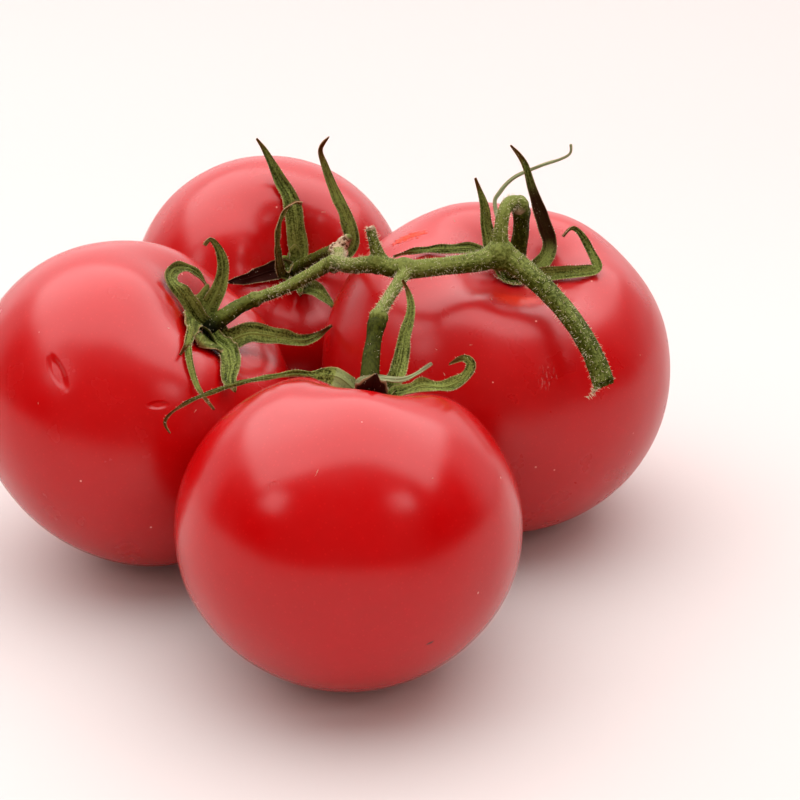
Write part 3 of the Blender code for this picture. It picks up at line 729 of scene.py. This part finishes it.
def makeCalyces(hairs):
    material = sepalMaterial()
    for name, fruit in fruits.items():
        axes = stemEndAxes(fruit)
        whole = bmesh.new()
        leafLayers(whole)
        own = []
        web = webShape(fruit, sepals[name], calyxForm["webReach"] + calyxForm["webMore"].get(name, 0.0))
        faceOutwards(web)
        addInto(whole, web)
        for seed, form in enumerate(sepals[name]):
            addInto(whole, sepalShape(fruit, form, seed + len(name), own))
        for i in range(calyxForm["cupHairs"]):
            bearing = draw.uniform(0, 2 * math.pi)
            rim = calyxForm["webReach"] * draw.uniform(0.8, 1.3)
            place = Vector((rim * math.cos(bearing), rim * math.sin(bearing), 0))
            place.z = calyxForm["webGap"] + 0.6 - skinRise(fruit, place)
            lean = Vector((math.cos(bearing), math.sin(bearing), 0.8)).normalized()
            own.append((place, lean, calyxForm["cupHairLength"]))
        whole.transform(axes)
        turn = axes.to_3x3()
        hairs += [(axes @ place, turn @ way, length) for place, way, length in own]
        addPiece("calyx" + name.capitalize(), whole, material, ["calyx_" + name], 40)
    print("calyces made")


# The stem and stalks: ways of (x, y, z, width)
stemForm = dict(sides=28, step=0.7, voxel=0.24, ridges=5, ridgeHeight=0.055, bumpHeight=0.10, bumpSize=2.6,
                pithWidth=0.62, pithDepth=1.6, pithTear=0.7, corkHeight=0.34, stemHairs=4200, stemHair=0.72,
                stalkHairs=170, frontHairs=60, stalkHair=0.42, stalkPaintedShade=0.55, frontPaintedShade=0.30)
rachis = ((56.2, -33.5, 50.0, 4.4), (53.8, -28.5, 55.2, 4.1), (49.9, -22, 59.8, 4.1), (45.1, -15, 63.2, 4.3),
          (40.2, -10, 66.0, 4.7), (36, -8, 68.0, 5.3), (31.4, -10, 67.3, 4.2), (23.6, -13, 67.4, 3.7),
          (15.8, -15, 67.6, 3.9), (10.3, -12, 67.5, 3.7), (5, -6, 64.8, 3.2), (1.2, 2, 62.3, 3.1),
          (-3, 2, 60.0, 2.8), (-8.9, 0, 57.4, 2.5), (-14, -2.6, 56.4, 2.6), (-15.6, -3.3, 56.0, 3.1))
branches = {
    "right": ((36, -8, 67.0, 4.8), (36.1, -7.4, 72.0, 3.1), (36.7, -5.5, 76.0, 2.8), (38.2, -2.6, 77.4, 3.0),
              (39.9, -0.4, 76.5, 3.2), (40.3, 0.1, 75.6, 3.9)),
    "front": ((17, -15, 67.8, 3.0), (15.4, -19.5, 66.9, 2.6), (13.3, -27, 66.3, 2.4), (11.5, -35, 66.4, 2.7),
              (11.1, -36.8, 65.9, 3.6)),
    "back": ((1.6, 0, 62.4, 2.6), (2.2, 7, 60.8, 2.5), (2.2, 15, 59.0, 2.6), (1.8, 21, 57.4, 3.0),
             (1.6, 22.5, 56.9, 3.9)),
    "stub": ((11.6, -12.6, 67.2, 3.6), (10.8, -12, 70.0, 2.8), (9.9, -11.6, 73.0, 2.1),
             (9.3, -11.2, 75.4, 2.0)),
}
sliver = ((54.4, -33.6, 51.2, 1.4), (54.4, -34.6, 50.2, 1.0), (53.6, -35.2, 49.0, 0.6),
          (52.8, -35.4, 48.2, 0.35))
stalks = {
    "right": ((40.7, 0.6, 74.1, 4.0), (40.8, 1, 72.5, 3.4), (40.7, 1.8, 68.5, 3.5), (39.9, 2.9, 61.8, 4.0)),
    "front": ((10.9, -37.8, 65.0, 3.7), (10.3, -40, 62.9, 3.1), (9.8, -43.5, 60.0, 3.5),
              (9.5, -47.5, 56.5, 4.0)),
    "left": ((-16.3, -3.6, 55.7, 3.1), (-18.6, -4.8, 55.0, 3.2), (-21.4, -7.0, 53.8, 3.5),
             (-22.0, -7.5, 53.6, 3.6)),
    "back": ((1.3, 23.3, 56.6, 3.8), (-0.6, 27.5, 54.6, 3.1), (-4.6, 36, 49.4, 3.3), (-7.5, 42.4, 45.2, 3.8)),
}
# Swellings round a fork or a knuckle (x, y, z, reach), and the corky places (x, y, z, reach, cork)
swellings = ((36.0, -8.0, 68.0, 3.4), (16.2, -14.9, 67.6, 2.5), (11.0, -12.4, 67.9, 2.4),
             (1.4, 1.4, 62.3, 2.0), (11.2, -36.6, 66.0, 1.95), (40.2, -0.1, 76.0, 2.1),
             (1.7, 22.4, 57.0, 2.2), (2.9, 22.7, 58.9, 1.5), (4.0, 22.4, 60.2, 0.9),
             (-15.3, -3.2, 56.1, 1.7))
corks = ((11.1, -37.1, 65.7, 1.3, 0.6), (40.2, -0.6, 75.6, 1.9, 0.75), (2.4, 22.9, 58.2, 3.2, 1.2),
         (-15.7, -3.4, 56.2, 1.3, 0.5), (9.3, -11.2, 75.6, 1.4, 0.9), (54.2, -36.0, 48.0, 2.2, 1.2))
# Painted shade where light hardly reaches the foot of the left stalk: (x, y, z, reach)
paintedFootShade = (-24.6, -9.4, 51.2, 3.4)
# The cut tail of the stem slopes away from the light and is painted darker there as painted shade, past an x
# and in front of a y
tail = dict(fromX=38, over=9, beforeY=-8, paintedShade=0.45)


def sweepTube(way, sides):
    # a ring carried along the way by extruding its edge, capped at both ends
    places = smoothWay(way, stemForm["step"])
    points = [Vector(place[:3]) for place in places]
    ahead = headings(points)
    across = carried(ahead[0].orthogonal().normalized(), ahead)
    rings = []
    for point, place, forward, side in zip(points, places, ahead, across):
        turn = Matrix((side, forward.cross(side), forward)).transposed().to_4x4()
        rings.append(Matrix.Translation(point) @ turn @ Matrix.Scale(place[3] / 2, 4))
    shape = bmesh.new()
    bmesh.ops.create_circle(shape, cap_ends=True, segments=sides, radius=1, matrix=rings[0])
    edges = shape.edges[:]
    for before, after in zip(rings, rings[1:]):
        grown = bmesh.ops.extrude_edge_only(shape, edges=edges)["geom"]
        verts = [item for item in grown if isinstance(item, bmesh.types.BMVert)]
        edges = [item for item in grown if isinstance(item, bmesh.types.BMEdge)]
        edges = [edge for edge in edges if len(edge.link_faces) == 1 and all(v in verts for v in edge.verts)]
        bmesh.ops.transform(shape, matrix=after @ before.inverted(), verts=verts)
    bmesh.ops.contextual_create(shape, geom=edges)
    faceOutwards(shape)
    return shape


def hollowEnd(shape, way):
    # the torn end: its cap is set in and pushed down, deeper on one side
    end = Vector(way[0][:3])
    caps = [face for face in shape.faces if len(face.verts) > 8]
    cap = min(caps, key=lambda face: (face.calc_center_median() - end).length)
    bmesh.ops.inset_region(shape, faces=[cap], thickness=(1 - stemForm["pithWidth"]) * way[0][3] / 2)
    inwards = (Vector(way[1][:3]) - end).normalized()
    for vert in cap.verts:
        vert.co += inwards * stemForm["pithDepth"] * (1 + 0.5 * noise.noise(vert.co))
    rim = {vert for face in shape.faces for vert in face.verts if (vert.co - end).dot(inwards) < 0.05}
    for vert in rim:
        vert.co -= inwards * stemForm["pithTear"] * noise.noise(vert.co * 1.3)


def remeshed(shape):
    # the overlapping tubes become one skin with soft forks
    shape.transform(Matrix.Scale(mm, 4))
    rough = bpy.data.meshes.new("rough")
    shape.to_mesh(rough)
    shape.free()
    holder = bpy.data.objects.new("rough", rough)
    bpy.context.scene.collection.objects.link(holder)
    weld = holder.modifiers.new("weld", "REMESH")
    weld.mode = "VOXEL"
    weld.voxel_size = stemForm["voxel"] * mm
    soften = holder.modifiers.new("soften", "SMOOTH")
    soften.iterations = 6
    soften.factor = 0.5
    mesh = bpy.data.meshes.new_from_object(holder.evaluated_get(bpy.context.evaluated_depsgraph_get()))
    bpy.data.objects.remove(holder)
    bpy.data.meshes.remove(rough)
    return mesh


def wayGuide(ways):
    # for each place along the ways: where it is, forward, side, distance from the start, and half the width
    guide = []
    for way in ways:
        places = smoothWay(way, 0.5)
        points = [Vector(place[:3]) for place in places]
        ahead = headings(points)
        side = carried(ahead[0].orthogonal().normalized(), ahead)
        guide += [(points[i], ahead[i], side[i], i * 0.5, places[i][3] / 2) for i in range(len(points))]
    tree = KDTree(len(guide))
    for i, entry in enumerate(guide):
        tree.insert(entry[0], i)
    tree.balance()
    return guide, tree


def finishStem(mesh, ways):
    # ridges and low bumps, and the attributes that the material reads
    guide, tree = wayGuide(ways)
    values = {"along": [], "around": [], "cork": [], "paintedFootShade": [], "paintedLighting": []}
    moved = []
    for vert in mesh.vertices:
        place = vert.co / mm
        near, index, distance = tree.find(place)
        point, forward, side, along, radius = guide[index]
        off = place - point
        around = math.atan2(off.dot(forward.cross(side)), off.dot(side))
        cork = sum(amount * math.exp(-((place - Vector(at[:3])).length / at[3]) ** 4)
                   for at in corks for amount in at[4:])
        ridge = math.cos(stemForm["ridges"] * around + along * 0.05)
        lump = noise.noise(place / stemForm["bumpSize"]) + 0.5 * noise.noise(place / 0.9)
        rise = stemForm["ridgeHeight"] * ridge + stemForm["bumpHeight"] * lump
        rise += cork * stemForm["corkHeight"] * noise.noise(place / 0.5)
        moved.append(vert.co + vert.normal * rise * mm)
        values["along"].append(along)
        values["around"].append(around)
        values["cork"].append(cork)
        values["paintedFootShade"].append(math.exp(-((place - Vector(paintedFootShade[:3])).length / paintedFootShade[3]) ** 4))
        # painted light and shade: lighter where the surface faces up, darker on the cut tail
        onTail = min(1.0, max(0.0, (place.x - tail["fromX"]) / tail["over"])) * (place.y < tail["beforeY"])
        values["paintedLighting"].append((0.5 + 0.5 * vert.normal.z) * (1 - tail["paintedShade"] * onTail))
    for vert, place in zip(mesh.vertices, moved):
        vert.co = place
    for key, numbers in values.items():
        mesh.attributes.new(key, "FLOAT", "POINT").data.foreach_set("value", numbers)
    return guide


def growStemHairs(guide, count, hairs, length):
    for i in range(count):
        point, forward, side, along, radius = draw.choice(guide)
        around = draw.uniform(0, 2 * math.pi)
        outward = side * math.cos(around) + forward.cross(side) * math.sin(around)
        lean = (outward + forward * draw.uniform(-0.7, 0.4)).normalized()
        hairs.append((point + outward * radius * 0.97, lean, length))


stemColours = dict(dark=colour(0.025, 0.037, 0.0003), light=colour(0.150, 0.198, 0.044),
                   cork=colour(0.42, 0.33, 0.22), corkDark=colour(0.085, 0.045, 0.022),
                   line=colour(0.23, 0.29, 0.11), paintedFootShade=colour(0.003, 0.004, 0.002))


def stemMaterial(name, darker):
    made, nodes, shader, coords = newMaterial(name)
    along = nodes.attribute("along")
    around = nodes.attribute("around")
    stretch = nodes.add("ShaderNodeCombineXYZ", inputs={
        "X": nodes.math("MULTIPLY", along, 0.12), "Y": nodes.math("SINE", around),
        "Z": nodes.math("COSINE", around)})
    streak = nodes.noise(stretch.outputs[0], 4.5, 4.0, 0.6)
    # painted light and shade from the attribute: the upper side lighter, the tail darker, and the pale lines
    # shown only on the lit upper side
    pale = nodes.math("ADD", nodes.ramp(streak, 0.4, 0.7, -0.22, 0.25),
                      nodes.ramp(nodes.attribute("paintedLighting"), 0.15, 0.95, -0.42, 0.48))
    tissue = placeGroup(nodes, leafGroup, Vector=coords, Dark=stemColours["dark"], Light=stemColours["light"],
                        Dried=stemColours["cork"], Dry=nodes.attribute("cork"), Pale=pale, Grain=1500.0)
    lines = nodes.math("MULTIPLY", nodes.ramp(streak, 0.62, 0.75, 0.0, 0.5), nodes.attribute("paintedLighting"))
    shade = nodes.mix(lines, tissue["Color"], stemColours["line"])
    pits = nodes.math("MULTIPLY", nodes.ramp(nodes.noise(coords, 1400.0, 2.0), 0.52, 0.60),
                      nodes.ramp(nodes.attribute("cork"), 0.45, 0.8))
    shade = nodes.mix(pits, shade, stemColours["corkDark"])
    shade = nodes.mix(1.0, shade, colour(darker, darker, darker ** 1.7), "MULTIPLY")
    # painted shade: near black at the foot of the left stalk
    shade = nodes.mix(nodes.attribute("paintedFootShade"), shade, stemColours["paintedFootShade"])
    height = nodes.math("ADD", tissue["Height"], nodes.math("MULTIPLY", streak, 0.00018))
    bump = nodes.add("ShaderNodeBump", inputs={"Height": height, "Distance": 1.0, "Strength": 0.8})
    nodes.feed(shade, shader.inputs["Base Color"])
    nodes.feed(bump.outputs[0], shader.inputs["Normal"])
    shader.inputs["Roughness"].default_value = 0.5
    shader.inputs["Specular IOR Level"].default_value = 0.04
    return made


def makeStem(hairs):
    shape = sweepTube(rachis, stemForm["sides"])
    hollowEnd(shape, rachis)
    for way in [*branches.values(), sliver]:
        addInto(shape, sweepTube(way, stemForm["sides"]))
    for x, y, z, reach in swellings:
        ball = bmesh.new()
        bmesh.ops.create_icosphere(ball, subdivisions=3, radius=reach, matrix=Matrix.Translation((x, y, z)))
        addInto(shape, ball)
    mesh = remeshed(shape)
    ways = [rachis, *branches.values(), sliver]
    guide = finishStem(mesh, ways)
    placePiece("trussStem", mesh, stemMaterial("stemSkin", 1.0), ["truss_stem"])
    growStemHairs(guide, stemForm["stemHairs"], hairs, stemForm["stemHair"])
    print("stem made")


def wholeStalk(name):
    # from inside the knuckle on the truss to the hollow of the calyx
    joint = (rachis if name == "left" else branches[name])[-1]
    axes = stemEndAxes(fruits[name])
    foot = axes @ Vector((0, 0, 1.0))
    width = stalks[name][-1][3]
    return ((*joint[:3], joint[3] * 0.85), *stalks[name], (*foot, width * 1.1))


def makeStalks(hairs):
    # painted shade: the stalks take a darker copy of the stem's material, and the front stalk a darker one
    # still
    material = stemMaterial("stalkShadedSkin", stemForm["stalkPaintedShade"])
    frontShadedSkin = stemMaterial("stalkFrontShadedSkin", stemForm["frontPaintedShade"])
    for name in stalks:
        way = wholeStalk(name)
        mesh = remeshed(sweepTube(way, stemForm["sides"]))
        guide = finishStem(mesh, [way])
        skin = frontShadedSkin if name == "front" else material
        placePiece("stalk" + name.capitalize(), mesh, skin, ["pedicel_" + name])
        count = stemForm["frontHairs" if name == "front" else "stalkHairs"]
        growStemHairs(guide, count, hairs, stemForm["stalkHair"])
    print("stalks made")


# Fine pale hairs, each a three-sided spike sunk in what it grows from
hairForm = dict(root=0.05, tip=0.006, sunk=0.10, batch=120, scatter=0.33, lengths=(0.45, 1.35),
                pale=colour(0.74, 0.76, 0.54), dull=colour(0.62, 0.60, 0.40))


def hairMaterial():
    made, nodes, shader, coords = newMaterial("hairPale")
    tint = nodes.mix(nodes.noise(coords, 60.0), hairForm["pale"], hairForm["dull"])
    nodes.feed(tint, shader.inputs["Base Color"])
    shader.inputs["Roughness"].default_value = 0.55
    return made


def makeHairs(hairs):
    whole = bmesh.new()
    for start in range(0, len(hairs), hairForm["batch"]):
        batch = bmesh.new()
        for place, way, length in hairs[start:start + hairForm["batch"]]:
            scatter = Vector([draw.gauss(0, hairForm["scatter"]) for axis in range(3)])
            way = (way + scatter).normalized()
            length = length * draw.uniform(*hairForm["lengths"])
            centre = place + way * (length / 2 - hairForm["sunk"])
            if centre.z < length:
                continue
            turn = way.to_track_quat("Z", "Y").to_matrix().to_4x4()
            bmesh.ops.create_cone(batch, cap_ends=True, segments=3, radius1=hairForm["root"],
                                  radius2=hairForm["tip"], depth=length,
                                  matrix=Matrix.Translation(centre) @ turn)
        addInto(whole, batch)
    addPiece("fineHairs", whole, hairMaterial(), [])
    print("hairs made:", len(hairs))


# Floor, lights and room, in metres. The broad light overhead is drawn twice: as it lights the truss,
# and as the skins mirror it.
studio = dict(
    overhead=dict(at=(-0.22, 0.25, 0.95), size=(2.1, 1.5), power=22.0, towards=(-0.22, 0.25, 0),
                  mirrored=False),
    overheadShine=dict(at=(0, 0.48, 0.93), size=(2.3, 1.54), power=36.0, towards=(0, 0.48, 0), lights=False),
    wallShine=dict(at=(0, 1.3, 0.48), size=(2.7, 0.95), power=5.0, towards=(0, 0, 0.30), lights=False),
    frontFill=dict(at=(0, -1.5, 0.80), size=(3.6, 1.8), power=23.0, towards=(0, 0, 0), mirrored=False,
                   tint=(1.0, 0.64, 0.58)),
    leftLamp=dict(at=(-0.74, -0.45, 0.67), size=(0.25, 0.25), power=0.68, towards=(0, 0, 0.04)),
    rightLamp=dict(at=(0.61, -0.62, 0.76), size=(0.20, 0.20), power=0.52, towards=(0, 0, 0.04)))
room = dict(floor=colour(0.590, 0.625, 0.615), farFloor=colour(0.58, 0.577, 0.567), floorTurn=(-0.05, 0.30),
            ambient=colour(1.08, 0.565, 0.52), dark=colour(0.003, 0.003, 0.003), mirroredFront=0.003,
            mirroredBack=0.8, seen=colour(1.0, 0.95, 0.925))


def makeStudio():
    shape = bmesh.new()
    bmesh.ops.create_grid(shape, x_segments=1, y_segments=1, size=4.0)
    mesh = bpy.data.meshes.new("floor")
    shape.to_mesh(mesh)
    shape.free()
    floor = bpy.data.objects.new("floor", mesh)
    bpy.context.scene.collection.objects.link(floor)
    made, nodes, shader, coords = newMaterial("floorPale")
    back = nodes.add("ShaderNodeSeparateXYZ", inputs={"Vector": coords}).outputs["Y"]
    shade = nodes.mix(nodes.ramp(back, *room["floorTurn"]), room["floor"], room["farFloor"])
    nodes.feed(shade, shader.inputs["Base Color"])
    shader.inputs["Roughness"].default_value = 0.7
    shader.inputs["Specular IOR Level"].default_value = 0.15
    mesh.materials.append(made)
    for name, form in studio.items():
        light = bpy.data.lights.new(name, "AREA")
        light.shape = "RECTANGLE"
        light.size, light.size_y = form["size"]
        light.energy = form["power"]
        light.color = form.get("tint", (1, 1, 1))
        lamp = bpy.data.objects.new(name, light)
        bpy.context.scene.collection.objects.link(lamp)
        lamp.location = form["at"]
        look = Vector(form["towards"]) - Vector(form["at"])
        lamp.rotation_euler = look.to_track_quat("-Z", "Y").to_euler()
        lamp.visible_camera = False
        lamp.visible_glossy = form.get("mirrored", True)
        lamp.visible_diffuse = form.get("lights", True)


def makeRoom():
    # light from the sides and behind, mirrored dark on the photographer's side and pale behind the truss
    world = bpy.data.worlds.new("room")
    world.use_nodes = True
    nodes = Nodes(world.node_tree)
    way = nodes.add("ShaderNodeTexCoord").outputs["Generated"]
    backwards = nodes.add("ShaderNodeSeparateXYZ", inputs={"Vector": way}).outputs["Y"]
    pale = nodes.ramp(backwards, 0.15, 0.45, room["mirroredFront"], room["mirroredBack"])
    path = nodes.add("ShaderNodeLightPath").outputs
    even = nodes.mix(nodes.ramp(backwards, -0.40, 0.10), room["dark"], room["ambient"])
    light = nodes.mix(path["Is Glossy Ray"], even, pale)
    back = world.node_tree.nodes["Background"]
    nodes.feed(nodes.mix(path["Is Camera Ray"], light, room["seen"]), back.inputs["Color"])
    world.cycles.sampling_method = "NONE"
    bpy.context.scene.world = world
    bpy.context.scene.view_settings.view_transform = "Standard"
    print("floor, lights and room made")


def makeCamera():
    data = bpy.data.cameras.new("camera")
    data.lens = camera["lens"]
    data.sensor_width = camera["sensor"]
    data.clip_start = 0.01
    data.clip_end = 20
    stand = bpy.data.objects.new("camera", data)
    bpy.context.scene.collection.objects.link(stand)
    stand.location = Vector(camera["at"]) * mm
    stand.rotation_euler = (math.radians(90 - camera["pitch"]), 0, 0)
    bpy.context.scene.camera = stand


hairPlaces = []
makeCamera()
makeFruits(hairPlaces)
makeCalyces(hairPlaces)
makeStem(hairPlaces)
makeStalks(hairPlaces)
makeHairs(hairPlaces)
makeStudio()
makeRoom()
